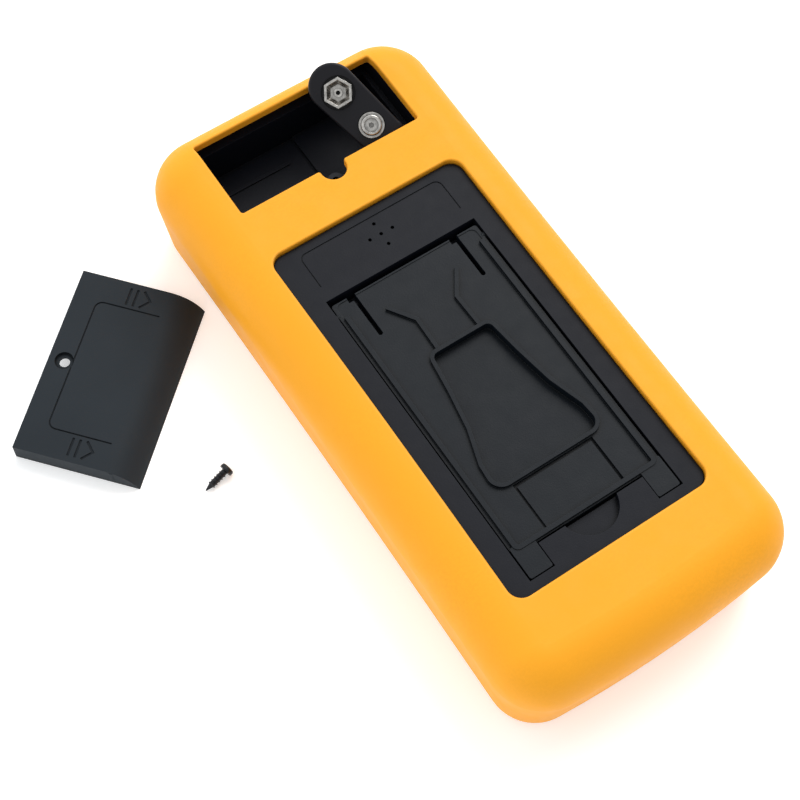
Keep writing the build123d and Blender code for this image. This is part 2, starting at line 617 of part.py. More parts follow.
def capacitor_socket():
    """Test socket with two slots for a component's legs."""
    outline = rounded(SOCKET_X - 6.5, SOCKET_X + 6.5, SOCKET_Y - 3.5, SOCKET_Y + 3.5, 0.95)
    socket = prism(outline, CASE_FRONT_Z - 0.3, 10.0)
    for side in (-1, 1):
        x = SOCKET_X + side * 2.9
        socket -= box(x - 2.0, x + 2.0, SOCKET_Y - 0.6, SOCKET_Y + 0.6, 0, 8.5)
    return socket


FUSE_Y = -50.0
FUSE_Z = PCB_BACK_Z + 4.2


def fuse_glass():
    """Glass tube of a 5 by 20 mm fuse."""
    return bar_x(-9.2, 9.2, FUSE_Y, FUSE_Z, 2.35) - bar_x(-10, 10, FUSE_Y, FUSE_Z, 1.9)


def fuse_caps():
    """The fuse's two end caps."""
    caps = []
    for side in (-1, 1):
        x0, x1 = sorted((side * 5.0, side * 10.0))
        inner0, inner1 = sorted((side * 4.5, side * 9.3))
        caps.append(bar_x(x0, x1, FUSE_Y, FUSE_Z, 2.6) - bar_x(inner0, inner1, FUSE_Y, FUSE_Z, 2.4))
    return Compound(children=caps)


def fuse_clips():
    """Two clips that hold the fuse on the board."""
    clips = []
    for side in (-1, 1):
        x0, x1 = sorted((side * 6.0, side * 9.0))
        clip = box(x0, x1, FUSE_Y - 3.1, FUSE_Y + 3.1, PCB_BACK_Z + 0.02, FUSE_Z + 2.2)
        clip -= bar_x(x0 - 1, x1 + 1, FUSE_Y, FUSE_Z, 2.65)
        clips.append(clip - box(x0 - 1, x1 + 1, FUSE_Y - 1.9, FUSE_Y + 1.9, FUSE_Z, FUSE_Z + 5))
    return Compound(children=clips)


def shunt_wire():
    """Bent resistance wire for the high current range."""
    x0, x1, y = (-20, -2, -63)
    foot = PCB_BACK_Z + 0.02
    path = FilletPolyline((x0, y, foot), (x0, y, 22), (x1, y, 22), (x1, y, foot), radius=2.5)
    section = Plane(origin=path @ 0, z_dir=path % 0) * Circle(0.8)
    return sweep(section, path=path)


def main_chip():
    """Converter chip, a flat package with legs on two sides."""
    chip = box(-26, 26, 14, 27, PCB_BACK_Z + 0.6, PCB_BACK_Z + 4.4)
    chip -= rod(-24, 20.5, PCB_BACK_Z + 4.0, PCB_BACK_Z + 6, 1.2)
    legs = []
    for i in range(20):
        x = -24.1 + 2.54 * i
        for y in (13.3, 27.7):
            legs.append(box(x - 0.25, x + 0.25, y - 0.7, y + 0.7, PCB_BACK_Z + 0.02, PCB_BACK_Z + 2.4))
    for leg in legs:
        chip += leg
    return chip


def capacitors():
    """Electrolytic capacitors standing on the board."""
    places = ((-29, 36, 2.5), (29, 36, 2.5), (22, -30, 3.1))
    cans = [rod(x, y, PCB_BACK_Z + 0.02, PCB_BACK_Z + 9, r) for x, y, r in places]
    return Compound(children=[fillet(c.faces().sort_by(Axis.Z)[-1].edges(), 0.5) for c in cans])


def resistors():
    """Rows of range resistors lying on the board."""
    row = []
    for i in range(8):
        for y in (6.0, -25.0):
            row.append(bar_x(-27.2, -20.8, y - 3.1 * i, PCB_BACK_Z + 1.15, 1.1))
    return Compound(children=row)


def buzzer_disc():
    """Piezo sounder behind the grille."""
    z = CASE_BACK_Z - 3.6
    return rod(0, BUZZER_Y, z, z + 0.25, 6.5) + rod(0, BUZZER_Y, z - 0.3, z, 4.6)


def case_screws():
    """Four screws that hold the two halves of the casing."""
    screws = []
    for x, y in CASE_SCREWS:
        head_z = SCREW_SEAT_Z + 0.02
        screw = rod(x, y, head_z, head_z + 1.9, 2.9) + rod(x, y, 10.0, head_z + 0.1, 1.25)
        screw -= box(x - 1.9, x + 1.9, y - 0.3, y + 0.3, head_z + 1.0, head_z + 3)
        screws.append(screw - box(x - 0.3, x + 0.3, y - 1.9, y + 1.9, head_z + 1.0, head_z + 3))
    return Compound(children=screws)


def board_screws():
    """Four small screws that hold the board to the front."""
    screws = []
    for x, y in PCB_SCREWS:
        head = rod(x, y, PCB_BACK_Z + 0.02, PCB_BACK_Z + 1.6, 2.0)
        screws.append(head + rod(x, y, 8.6, PCB_BACK_Z + 0.1, 0.95))
    return Compound(children=screws)


def snap_place(piece):
    """Puts a piece drawn along +Y from the snap's pivot into its raised place in the bay."""
    return Pos(*SNAP_PIVOT) * Rot(0, 0, SNAP_YAW) * Rot(SNAP_TILT, 0, 0) * Rot(0, -SNAP_ROLL, 0) * piece


STUD_Y = 5.8
HEX_Y = STUD_Y + SNAP_PITCH
SNAP_END_BEYOND = 2.4
SNAP_SEAT_Z = SNAP_T / 2 - 0.58


def snap_body():
    """Moulded body of the battery snap, a strip with a round far end, terminals on its top."""
    h = SNAP_HALF_W
    end = HEX_Y + SNAP_END_BEYOND
    outline = make_face([
        Line((-h + 0.6, 0), (h - 0.6, 0)),
        Line((h - 0.6, 0), (h, end)),
        ThreePointArc((h, end), (0, end + h), (-h, end)),
        Line((-h, end), (-h + 0.6, 0)),
    ])
    body = prism(outline, -SNAP_T / 2, SNAP_T / 2)
    body = fillet(body.faces().sort_by(Axis.Z)[-1].edges().filter_by(lambda e: e.center().Y > 1), 0.8)
    body += bar_x(-h + 0.6, h - 0.6, 0, 0, SNAP_END_R)
    body -= rod(0, STUD_Y, SNAP_T / 2 - 0.6, SNAP_T, 3.8)
    body -= rod(0, HEX_Y, SNAP_T / 2 - 0.6, SNAP_T, 4.75)
    return snap_place(body)


def snap_stud():
    """Round snap terminal on its flange, waisted, with a dished top."""
    z = SNAP_SEAT_Z
    stud = rod(0, STUD_Y, z, z + 0.5, 3.6) + rod(0, STUD_Y, z + 0.4, z + 3.0, STUD_R)
    stud = fillet(stud.faces().sort_by(Axis.Z)[-1].edges(), 0.5)
    stud -= ring(0, STUD_Y, z + 0.5, z + 1.4, STUD_R - 0.35, STUD_R + 1)
    stud -= rod(0, STUD_Y, z + 2.2, z + 4, 2.0)
    return snap_place(stud - rod(0, STUD_Y, z + 1.4, z + 4, 0.7))


def hexagon(across):
    """A hexagon at the socket terminal's place, by its width across flats."""
    return Pos(0, HEX_Y) * RegularPolygon(across / 2, 6, major_radius=False, rotation=HEX_TURN)


def snap_socket():
    """Hexagonal snap terminal: sprung sides that slope in to a riveted eyelet."""
    z = SNAP_SEAT_Z
    socket = prism(hexagon(HEX_ACROSS), z + 0.4, z + 2.9) + rod(0, HEX_Y, z, z + 0.5, 3.9)
    socket -= loft([Pos(0, 0, z + 1.0) * hexagon(4.2), Pos(0, 0, z + 3.0) * hexagon(HEX_ACROSS - 1.2)])
    socket += rod(0, HEX_Y, z + 0.8, z + 1.7, 1.2)
    return snap_place(socket - rod(0, HEX_Y, z - 1, z + 3, 0.6))


def door_side(drop, start, half):
    """The door's side view, inset by a skin, pulled to a width; it runs on down below the rim."""
    r = DOOR_CURVE_R - drop
    centre_z = DOOR_DEPTH - DOOR_CURVE_R
    lean = math.acos(-centre_z / DOOR_CURVE_R)
    top = DOOR_DEPTH - drop
    mid = (DOOR_FLAT + r * math.sin(lean / 2), centre_z + r * math.cos(lean / 2))
    end = (DOOR_FLAT + r * math.sin(lean), centre_z + r * math.cos(lean))
    face = make_face([
        Line((start, -5), (start, top)),
        Line((start, top), (DOOR_FLAT, top)),
        ThreePointArc((DOOR_FLAT, top), mid, end),
        Line(end, (end[0], -5)),
        Line((end[0], -5), (start, -5)),
    ])
    return Pos(-half, 0, 0) * extrude(Plane.YZ * face, 2 * half, dir=(1, 0, 0))


def door_shape():
    """Battery door in its own frame: straight edge at y 0, curved end at +y, rim on z 0."""
    half = DOOR_W / 2
    door = door_side(0, 0, half) - door_side(DOOR_T, -5, half - DOOR_SKIRT_T)
    door &= box(-half, half, 0, DOOR_LEN + 5, 0, DOOR_DEPTH)
    door += box(-half, half, 0, 1.4, DOOR_DEPTH - DOOR_T - 1.6, DOOR_DEPTH - 0.5)
    inner = half - DOOR_SKIRT_T
    door -= box(-inner, inner, -1, BAY_Y0 - DOOR_Y0 + 0.3, -1, DOOR_DEPTH - DOOR_T)
    door += box(-half - 0.1, half + 0.1, 27.3, 28.3, 1.0, DOOR_DEPTH - 0.6)
    door -= door_side(DOOR_T, -5, inner)
    door -= rod(0, DOOR_HOLE_IN, DOOR_DEPTH - 1.0, DOOR_DEPTH + 1, 2.65)
    door -= rod(0, DOOR_HOLE_IN, -1, DOOR_DEPTH + 1, 1.5)
    return door - door_marks()


def door_marks():
    """Shallow moulded lines on the door: a three-sided frame and an arrow at each end."""
    z = DOOR_DEPTH - 0.3
    frame = FilletPolyline((-20.2, 25.4), (-20.2, 7.0), (20.2, 7.0), (20.2, 25.4), radius=2.2)
    marks = prism(trace(frame, 0.45), z, DOOR_DEPTH + 1)
    for side in (-1, 1):
        inner = side * 21.3
        outer = side * 26.7
        for y in (15.1, 17.1):
            marks += box(*sorted((inner, outer)), y - 0.35, y + 0.35, z, DOOR_DEPTH + 1)
        arrow = Polyline((inner, 18.9), ((inner + outer) / 2, 21.4), (outer, 18.9))
        marks += prism(trace(arrow, 0.7), z, DOOR_DEPTH + 1)
    return marks


def battery_door():
    """The door, lying loose beside the meter with its outside up."""
    return Pos(*DOOR_REST, 0) * Rot(0, 0, DOOR_YAW) * Pos(0, -DOOR_LEN / 2, 0) * door_shape()


def screw_shape():
    """Self-tapping screw standing on its tip at the origin, with a pan head and a cross recess."""
    shank = Pos(0, 0, 1.25) * Cone(0.15, 0.9, 2.5) + rod(0, 0, 2.4, HEAD_Z + 0.1, 0.9)
    for i in range(5):
        shank += Pos(0, 0, THREAD_START + 1.0 * i) * Cone(0.9, THREAD_R, 0.35)
    top = HEAD_Z + HEAD_T
    head = rod(0, 0, HEAD_Z, top, HEAD_R)
    head = fillet(head.faces().sort_by(Axis.Z)[-1].edges(), 0.6)
    head -= box(-1.1, 1.1, -0.22, 0.22, top - 0.7, top + 1)
    head -= box(-0.22, 0.22, -1.1, 1.1, top - 0.7, top + 1)
    return shank + head


def door_screw():
    """The door's screw, lying on the edge of its head and on its first thread."""
    first = THREAD_START + 0.175
    lean = math.atan((HEAD_R - THREAD_R) / (HEAD_Z - first))
    height = HEAD_R * math.cos(lean) + 0.01
    lying = Pos(0, 0, height) * Rot(0, 90 - math.degrees(lean), 0) * Pos(0, 0, -HEAD_Z) * screw_shape()
    return Pos(*SCREW_REST, 0) * Rot(0, 0, SCREW_YAW) * lying


def build():
    """Every node of the model, by name."""
    nodes = {
        "holster": holster(),
        "rear_case": rear_case(),
        "front_case": front_case(),
        "front_label": front_label(),
        "display_window": display_window(),
        "lcd_glass": lcd_glass(),
        "lcd_frame": lcd_frame(),
        "zebra_strip": zebra_strip(),
        "circuit_board": circuit_board(),
        "switch_pads": switch_pads(),
        "rotary_knob": rotary_knob(),
        "rotor_carrier": rotor_carrier(),
        "rotor_screw": rotor_screw(),
        "detent_balls": detent_balls(),
        "detent_springs": detent_springs(),
        "wiper_contacts": wiper_contacts(),
        "power_button": push_button(-BUTTON_X),
        "hold_button": push_button(BUTTON_X),
        "power_switch": button_switch(-BUTTON_X),
        "hold_switch": button_switch(BUTTON_X),
        "transistor_socket": transistor_socket(),
        "capacitor_socket": capacitor_socket(),
        "fuse_glass": fuse_glass(),
        "fuse_caps": fuse_caps(),
        "fuse_clips": fuse_clips(),
        "shunt_wire": shunt_wire(),
        "main_chip": main_chip(),
        "capacitors": capacitors(),
        "resistors": resistors(),
        "buzzer_disc": buzzer_disc(),
        "case_screws": case_screws(),
        "board_screws": board_screws(),
        "snap_body": snap_body(),
        "snap_stud_terminal": snap_stud(),
        "snap_socket_terminal": snap_socket(),
        "tilt_stand": tilt_stand(),
        "battery_door": battery_door(),
        "battery_door_screw": door_screw(),
    }
    for name, x in zip(("high_current", "milliamp", "common", "volt_ohm"), JACK_X):
        nodes[f"jack_{name}"] = input_jack(x)
        nodes[f"collar_{name}"] = jack_collar(x)
    return nodes


os.makedirs("parts", exist_ok=True)
for name, shape in build().items():
    export_step(shape, f"parts/{name}.step")
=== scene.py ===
import math
import bpy
from mathutils import Matrix, Vector


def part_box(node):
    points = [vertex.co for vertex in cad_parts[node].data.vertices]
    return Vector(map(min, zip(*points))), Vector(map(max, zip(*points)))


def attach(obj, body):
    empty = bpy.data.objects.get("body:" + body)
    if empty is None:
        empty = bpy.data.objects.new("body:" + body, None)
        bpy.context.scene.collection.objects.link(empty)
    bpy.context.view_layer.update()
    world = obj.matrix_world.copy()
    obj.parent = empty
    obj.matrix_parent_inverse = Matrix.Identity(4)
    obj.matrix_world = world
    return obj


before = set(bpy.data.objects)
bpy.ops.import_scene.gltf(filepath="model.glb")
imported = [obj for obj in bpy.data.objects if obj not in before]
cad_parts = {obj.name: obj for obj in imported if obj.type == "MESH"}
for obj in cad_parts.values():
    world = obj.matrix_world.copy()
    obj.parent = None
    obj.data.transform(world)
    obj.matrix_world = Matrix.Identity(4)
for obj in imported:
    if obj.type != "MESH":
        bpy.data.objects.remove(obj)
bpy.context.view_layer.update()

# Digital multimeter lying on its front, battery bay open, in metres, in the CAD's frame.

MM = 0.001
scene = bpy.context.scene


# ---------------------------------------------------------------- camera
CAMERA_AT = Vector((-136.03, -156.44, 435.18)) * MM
AZIMUTH = math.radians(-37.01)
ELEVATION = math.radians(64.83)
ROLL = math.radians(3.58)
FOCAL_OVER_WIDTH = 1721.1 / 800
SENSOR = 36.0
CLIP = (0.01, 10.0)


def make_camera():
    """The camera above the -Y end, to the left, looking down at the meter's back."""
    back = Vector((math.sin(AZIMUTH) * math.cos(ELEVATION),
                   -math.cos(AZIMUTH) * math.cos(ELEVATION),
                   math.sin(ELEVATION)))
    flat = Vector((math.cos(AZIMUTH), math.sin(AZIMUTH), 0.0))
    rise = back.cross(flat)
    right = flat * math.cos(ROLL) + rise * math.sin(ROLL)
    up = rise * math.cos(ROLL) - flat * math.sin(ROLL)
    data = bpy.data.cameras.new("camera")
    data.sensor_width = SENSOR
    data.lens = FOCAL_OVER_WIDTH * SENSOR
    data.clip_start, data.clip_end = CLIP
    camera = bpy.data.objects.new("camera", data)
    scene.collection.objects.link(camera)
    turn = Matrix((right, up, back)).transposed().to_4x4()
    camera.matrix_world = Matrix.Translation(CAMERA_AT) @ turn
    scene.camera = camera


# ---------------------------------------------------------------- light and floor
SKY_LIGHT = 0.84
SKY_LEAN = (-0.24, 0.34, 0.02)       # how much brighter the sky is towards each axis
SKY_COLOUR = (0.96, 0.985, 1.0)
KEY_STRENGTH = 1.65
KEY_FROM = Vector((0.55, 0.36, 0.75))
KEY_ANGLE = math.radians(40.0)
KEY_COLOUR = (1.0, 0.985, 0.96)
FLOOR_SIZE = 60.0
FLOOR_COLOUR = (0.93, 0.93, 0.93)
FLOOR_GLOW = 0.35


def make_studio():
    """A white table under a soft sky that leans to one side, and one broad key light."""
    scene.view_settings.view_transform = "Standard"
    make_sky()
    make_key()
    make_floor()


def make_sky():
    """Sky whose strength is a level plus a lean along its direction."""
    world = bpy.data.worlds.new("studio")
    scene.world = world
    world.use_nodes = True
    tree = world.node_tree
    sky = tree.nodes["Background"]
    sky.inputs["Color"].default_value = (*SKY_COLOUR, 1.0)
    place = tree.nodes.new("ShaderNodeTexCoord")
    lean = tree.nodes.new("ShaderNodeVectorMath")
    lean.operation = "DOT_PRODUCT"
    lean.inputs[1].default_value = SKY_LEAN
    level = tree.nodes.new("ShaderNodeMath")
    level.inputs[1].default_value = SKY_LIGHT
    tree.links.new(place.outputs["Generated"], lean.inputs[0])
    tree.links.new(lean.outputs["Value"], level.inputs[0])
    tree.links.new(level.outputs["Value"], sky.inputs["Strength"])


def make_key():
    data = bpy.data.lights.new("key", "SUN")
    data.energy = KEY_STRENGTH
    data.angle = KEY_ANGLE
    data.color = KEY_COLOUR
    key = bpy.data.objects.new("key", data)
    key.rotation_mode = "QUATERNION"
    key.rotation_quaternion = (-KEY_FROM).to_track_quat("-Z", "Y")
    scene.collection.objects.link(key)


def make_floor():
    bpy.ops.mesh.primitive_grid_add(x_subdivisions=4, y_subdivisions=4, size=FLOOR_SIZE)
    floor = bpy.context.object
    floor.name = "floor"
    card = bpy.data.materials.new("floor_card")
    card.use_nodes = True
    paint = card.node_tree.nodes["Principled BSDF"]
    paint.inputs["Base Color"].default_value = (*FLOOR_COLOUR, 1.0)
    paint.inputs["Roughness"].default_value = 0.9
    paint.inputs["Specular IOR Level"].default_value = 0.1
    paint.inputs["Emission Color"].default_value = (1.0, 1.0, 1.0, 1.0)
    paint.inputs["Emission Strength"].default_value = FLOOR_GLOW
    floor.data.materials.append(card)


# ---------------------------------------------------------------- shader building blocks
class Finish:
    """One material's node tree, with short ways to add layers to its shader."""

    def __init__(self, name, roughness, metallic=0.0, specular=0.5):
        self.material = bpy.data.materials.get(name) or bpy.data.materials.new(name)
        self.material.use_nodes = True
        self.tree = self.material.node_tree
        self.shader = self.tree.nodes["Principled BSDF"]
        self.shader.inputs["Roughness"].default_value = roughness
        self.shader.inputs["Metallic"].default_value = metallic
        self.shader.inputs["Specular IOR Level"].default_value = specular
        self.place = self.tree.nodes.new("ShaderNodeTexCoord").outputs["Object"]

    def join(self, a, b):
        self.tree.links.new(a, b)

    def noise(self, size, detail=2.0, rough=0.5):
        """Cloudy noise whose blobs are about size metres across."""
        node = self.tree.nodes.new("ShaderNodeTexNoise")
        node.inputs["Scale"].default_value = 1.0 / size
        node.inputs["Detail"].default_value = detail
        node.inputs["Roughness"].default_value = rough
        self.join(self.place, node.inputs["Vector"])
        return node.outputs["Fac"]

    def cells(self, size):
        """Distance to the nearest of scattered points about size metres apart."""
        node = self.tree.nodes.new("ShaderNodeTexVoronoi")
        node.inputs["Scale"].default_value = 1.0 / size
        self.join(self.place, node.inputs["Vector"])
        return node.outputs["Distance"]

    def spread(self, value, low, high, to_low=0.0, to_high=1.0):
        """Carries low..high of a value over to to_low..to_high, clamped."""
        node = self.tree.nodes.new("ShaderNodeMapRange")
        node.inputs["From Min"].default_value = low
        node.inputs["From Max"].default_value = high
        node.inputs["To Min"].default_value = to_low
        node.inputs["To Max"].default_value = to_high
        self.join(value, node.inputs["Value"])
        return node.outputs["Result"]

    def times(self, a, b):
        node = self.tree.nodes.new("ShaderNodeMath")
        node.operation = "MULTIPLY"
        self.join(a, node.inputs[0])
        self.join(b, node.inputs[1])
        return node.outputs["Value"]

    def mix(self, amount, a, b):
        """Colour a to colour b; each is a colour or a socket."""
        node = self.tree.nodes.new("ShaderNodeMix")
        node.data_type = "RGBA"
        self.join(amount, node.inputs[0])
        for value, socket in ((a, node.inputs[6]), (b, node.inputs[7])):
            if isinstance(value, tuple):
                socket.default_value = (*value, 1.0)
            else:
                self.join(value, socket)
        return node.outputs[2]

    def edges(self, radius, low=0.02, high=0.30):
        """1 along edges, 0 on flats: how far a rounded normal leans from the true one."""
        bevel = self.tree.nodes.new("ShaderNodeBevel")
        bevel.samples = 4
        bevel.inputs["Radius"].default_value = radius
        geometry = self.tree.nodes.new("ShaderNodeNewGeometry")
        dot = self.tree.nodes.new("ShaderNodeVectorMath")
        dot.operation = "DOT_PRODUCT"
        self.join(bevel.outputs["Normal"], dot.inputs[0])
        self.join(geometry.outputs["Normal"], dot.inputs[1])
        return self.spread(dot.outputs["Value"], 1.0 - low, 1.0 - high)

    def crevices(self, reach):
        """1 in the open, falling towards 0 in recesses narrower than about twice the reach: the mask
        that paints shade into recesses.
        """
        hollow = self.tree.nodes.new("ShaderNodeAmbientOcclusion")
        hollow.samples = 6
        hollow.inputs["Distance"].default_value = reach
        return hollow.outputs["AO"]

    def relief(self, height, depth, round_edges=0.0, under=None):
        """Raises the surface by a height map, over softened edges or an earlier relief."""
        bump = self.tree.nodes.new("ShaderNodeBump")
        bump.inputs["Strength"].default_value = 1.0
        bump.inputs["Distance"].default_value = depth
        self.join(height, bump.inputs["Height"])
        if under is not None:
            self.join(under, bump.inputs["Normal"])
        elif round_edges:
            bevel = self.tree.nodes.new("ShaderNodeBevel")
            bevel.samples = 4
            bevel.inputs["Radius"].default_value = round_edges
            self.join(bevel.outputs["Normal"], bump.inputs["Normal"])
        return bump.outputs["Normal"]

    def colour(self, socket):
        self.join(socket, self.shader.inputs["Base Color"])

    def roughness(self, socket):
        self.join(socket, self.shader.inputs["Roughness"])

    def normal(self, socket):
        self.join(socket, self.shader.inputs["Normal"])


def scaled(colour, factor):
    return tuple(min(1.0, c * factor) for c in colour)


# ---------------------------------------------------------------- finishes
def rubber(name, colour, worn_and_highlit_colour, rough):
    """Moulded rubber: fine eroded grain, faint flow clouds, painted shade in crevices, edges paler
    from rubbed wear and painted highlight.
    """
    f = Finish(name, rough, specular=0.22)
    cloud = f.spread(f.noise(0.035, 3.0), 0.3, 0.7)
    speckle = f.spread(f.noise(0.0007, 2.0), 0.35, 0.65)
    body = f.mix(cloud, scaled(colour, 0.975), scaled(colour, 1.025))
    body = f.mix(f.times(speckle, cloud), body, scaled(colour, 0.96))
    # painted shade: the colour darkens to 0.3 of itself in crevices and recesses
    body = f.mix(f.spread(f.crevices(0.0022), 0.35, 0.80), scaled(colour, 0.30), body)
    # paler edges: partly rubbed wear, partly painted highlight
    patchy = f.spread(f.noise(0.004, 3.0), 0.3, 0.75, 0.2, 0.7)
    rub_and_highlight = f.times(f.edges(0.0012, 0.01, 0.25), patchy)
    f.colour(f.mix(rub_and_highlight, body, worn_and_highlit_colour))
    f.roughness(f.spread(f.noise(0.006, 4.0), 0.25, 0.75, rough - 0.06, rough + 0.08))
    coarse = f.relief(f.noise(0.0016, 2.0), 0.000012, round_edges=0.0004)
    f.normal(f.relief(f.noise(0.00042, 3.0), 0.000016, under=coarse))


def moulded(name, colour, edge_wear_and_highlight, rough, grain=0.0005, depth=0.000012, specular=0.4, wear_and_highlight=0.5):
    """Injection-moulded plastic: spark-eroded grain, faint clouds, painted shade in crevices, edges
    paler from wear and painted highlight.
    """
    f = Finish(name, rough, specular=specular)
    cloud = f.spread(f.noise(0.02, 3.0), 0.3, 0.7)
    body = f.mix(cloud, scaled(colour, 0.95), scaled(colour, 1.05))
    patchy = f.spread(f.noise(0.003, 3.0), 0.3, 0.7, 0.35 * wear_and_highlight, wear_and_highlight)
    # painted shade: the colour darkens to a quarter of itself in crevices and grooves
    body = f.mix(f.spread(f.crevices(0.0016), 0.45, 0.92), scaled(colour, 0.25), body)
    # paler edges: partly wear, partly painted highlight
    rub_and_highlight = f.times(f.edges(0.0003), patchy)
    f.colour(f.mix(rub_and_highlight, body, edge_wear_and_highlight))
    f.roughness(f.spread(f.noise(0.0045, 4.0), 0.25, 0.75, rough - 0.03, rough + 0.03))
    pits = f.relief(f.cells(grain), depth, round_edges=0.00018)
    f.normal(f.relief(f.noise(grain * 0.6, 2.0), depth * 0.7, under=pits))


def metal(name, colour, rough, stain=0.85, scratch=0.000004, recess_shade_reach=0.0008):
    """Plated or bare metal: faint tarnish, painted shade in its recesses, smudged and finely
    scratched.
    """
    f = Finish(name, rough, metallic=1.0)
    tarnish = f.spread(f.noise(0.0009, 4.0), 0.38, 0.66)
    # painted shade: recesses darken to 0.22 of the metal's colour
    open_face = f.spread(f.crevices(recess_shade_reach), 0.35, 0.95)
    face = f.mix(tarnish, colour, scaled(colour, stain))
    f.colour(f.mix(open_face, scaled(colour, 0.22), face))
    f.roughness(f.spread(f.noise(0.0012, 3.0), 0.3, 0.7, max(0.05, rough - 0.08), rough + 0.1))
    f.normal(f.relief(f.noise(0.00035, 4.0), scratch, round_edges=0.00012))


def plastics():
    """Each plastic's colour, its paler colour along edges (partly wear, partly painted highlight)
    and roughness, with what sets it apart.
    """
    moulded("case_plastic", (0.0048, 0.0058, 0.0100), (0.034, 0.038, 0.046), 0.50,
            grain=0.00045, specular=0.17)
    moulded("stand_plastic", (0.0038, 0.0062, 0.0098), (0.044, 0.050, 0.057), 0.46,
            grain=0.00045, specular=0.18)
    moulded("door_plastic", (0.0235, 0.0290, 0.0350), (0.060, 0.066, 0.074), 0.50,
            grain=0.00040, specular=0.07)
    moulded("snap_vinyl", (0.0085, 0.0082, 0.0110), (0.016, 0.016, 0.020), 0.38,
            grain=0.0009, specular=0.22, wear_and_highlight=0.3)
    moulded("inner_plastic", (0.55, 0.54, 0.50), (0.7, 0.69, 0.66), 0.45)
    moulded("knob_plastic", (0.020, 0.022, 0.025), (0.07, 0.07, 0.075), 0.40)
    moulded("key_plastic", (0.30, 0.31, 0.32), (0.5, 0.5, 0.5), 0.42)
    moulded("white_plastic", (0.72, 0.71, 0.68), (0.8, 0.8, 0.78), 0.38, depth=0.000006)
    moulded("blue_plastic", (0.02, 0.09, 0.33), (0.10, 0.2, 0.45), 0.38)
    moulded("red_plastic", (0.55, 0.018, 0.012), (0.72, 0.10, 0.08), 0.35)
    moulded("black_plastic", (0.012, 0.012, 0.013), (0.05, 0.05, 0.05), 0.38)
    moulded("chip_plastic", (0.018, 0.018, 0.019), (0.05, 0.05, 0.05), 0.55)
    moulded("contact_rubber", (0.03, 0.03, 0.032), (0.06, 0.06, 0.06), 0.65)
    moulded("capacitor_sleeve", (0.016, 0.028, 0.085), (0.08, 0.09, 0.16), 0.30, depth=0.000005)
    moulded("resistor_coat", (0.10, 0.22, 0.30), (0.2, 0.3, 0.36), 0.35, depth=0.000008)


def clear(name, tint, rough):
    """Clear moulded plastic or glass, faintly wavy."""
    f = Finish(name, rough, specular=0.5)
    f.shader.inputs["Base Color"].default_value = (*tint, 1.0)
    f.shader.inputs["Transmission Weight"].default_value = 1.0
    f.shader.inputs["IOR"].default_value = 1.46
    f.roughness(f.spread(f.noise(0.004, 3.0), 0.3, 0.75, rough, rough + 0.05))
    f.normal(f.relief(f.noise(0.006, 2.0), 0.000003, round_edges=0.0002))


def printed_film():
    """The front's dark printed film, with a fine leather grain."""
    f = Finish("printed_label", 0.5, specular=0.3)
    cloud = f.spread(f.noise(0.02, 3.0), 0.3, 0.7)
    f.colour(f.mix(cloud, (0.030, 0.033, 0.040), (0.035, 0.038, 0.046)))
    f.roughness(f.spread(f.noise(0.003, 3.0), 0.3, 0.7, 0.42, 0.58))
    f.normal(f.relief(f.cells(0.0004), 0.000008, round_edges=0.0001))


def display_glass():
    """Unlit reflective liquid crystal: grey-green, slightly mottled, under smooth glass."""
    f = Finish("display", 0.12, specular=0.5)
    cloud = f.spread(f.noise(0.012, 3.0), 0.3, 0.7)
    body = f.mix(cloud, (0.30, 0.335, 0.26), (0.33, 0.365, 0.285))
    grain = f.spread(f.noise(0.00025, 2.0), 0.35, 0.65)
    f.colour(f.mix(f.times(grain, cloud), body, (0.27, 0.305, 0.235)))
    f.roughness(f.spread(f.noise(0.01, 3.0), 0.3, 0.7, 0.08, 0.16))


def solder_mask():
    """Green board with copper tracks showing through the solder mask."""
    f = Finish("board", 0.3, specular=0.5)
    tracks = f.tree.nodes.new("ShaderNodeTexBrick")
    tracks.inputs["Scale"].default_value = 160.0
    tracks.inputs["Mortar Size"].default_value = 0.10
    f.join(f.place, tracks.inputs["Vector"])
    gaps = f.spread(f.noise(0.012, 1.0), 0.47, 0.50)
    amount = f.times(tracks.outputs["Fac"], gaps)
    f.colour(f.mix(amount, (0.012, 0.115, 0.040), (0.035, 0.21, 0.075)))
    f.roughness(f.spread(f.noise(0.004, 3.0), 0.3, 0.7, 0.22, 0.38))
    f.normal(f.relief(amount, 0.00003))


def metals():
    """Each metal's colour and roughness, with what sets it apart."""
    metal("nickel", (0.60, 0.575, 0.54), 0.24, stain=0.62, recess_shade_reach=0.0011)
    metal("steel", (0.56, 0.56, 0.55), 0.30)
    metal("bright_steel", (0.70, 0.70, 0.70), 0.12)
    metal("black_steel", (0.045, 0.045, 0.048), 0.34, scratch=0.000008)
    metal("spring_bronze", (0.66, 0.44, 0.24), 0.28)
    metal("gilding", (0.90, 0.66, 0.26), 0.22)
    metal("shunt_alloy", (0.60, 0.47, 0.36), 0.30)
    metal("buzzer_brass", (0.76, 0.60, 0.28), 0.30)
    metal("jack_brass", (0.80, 0.72, 0.50), 0.22)


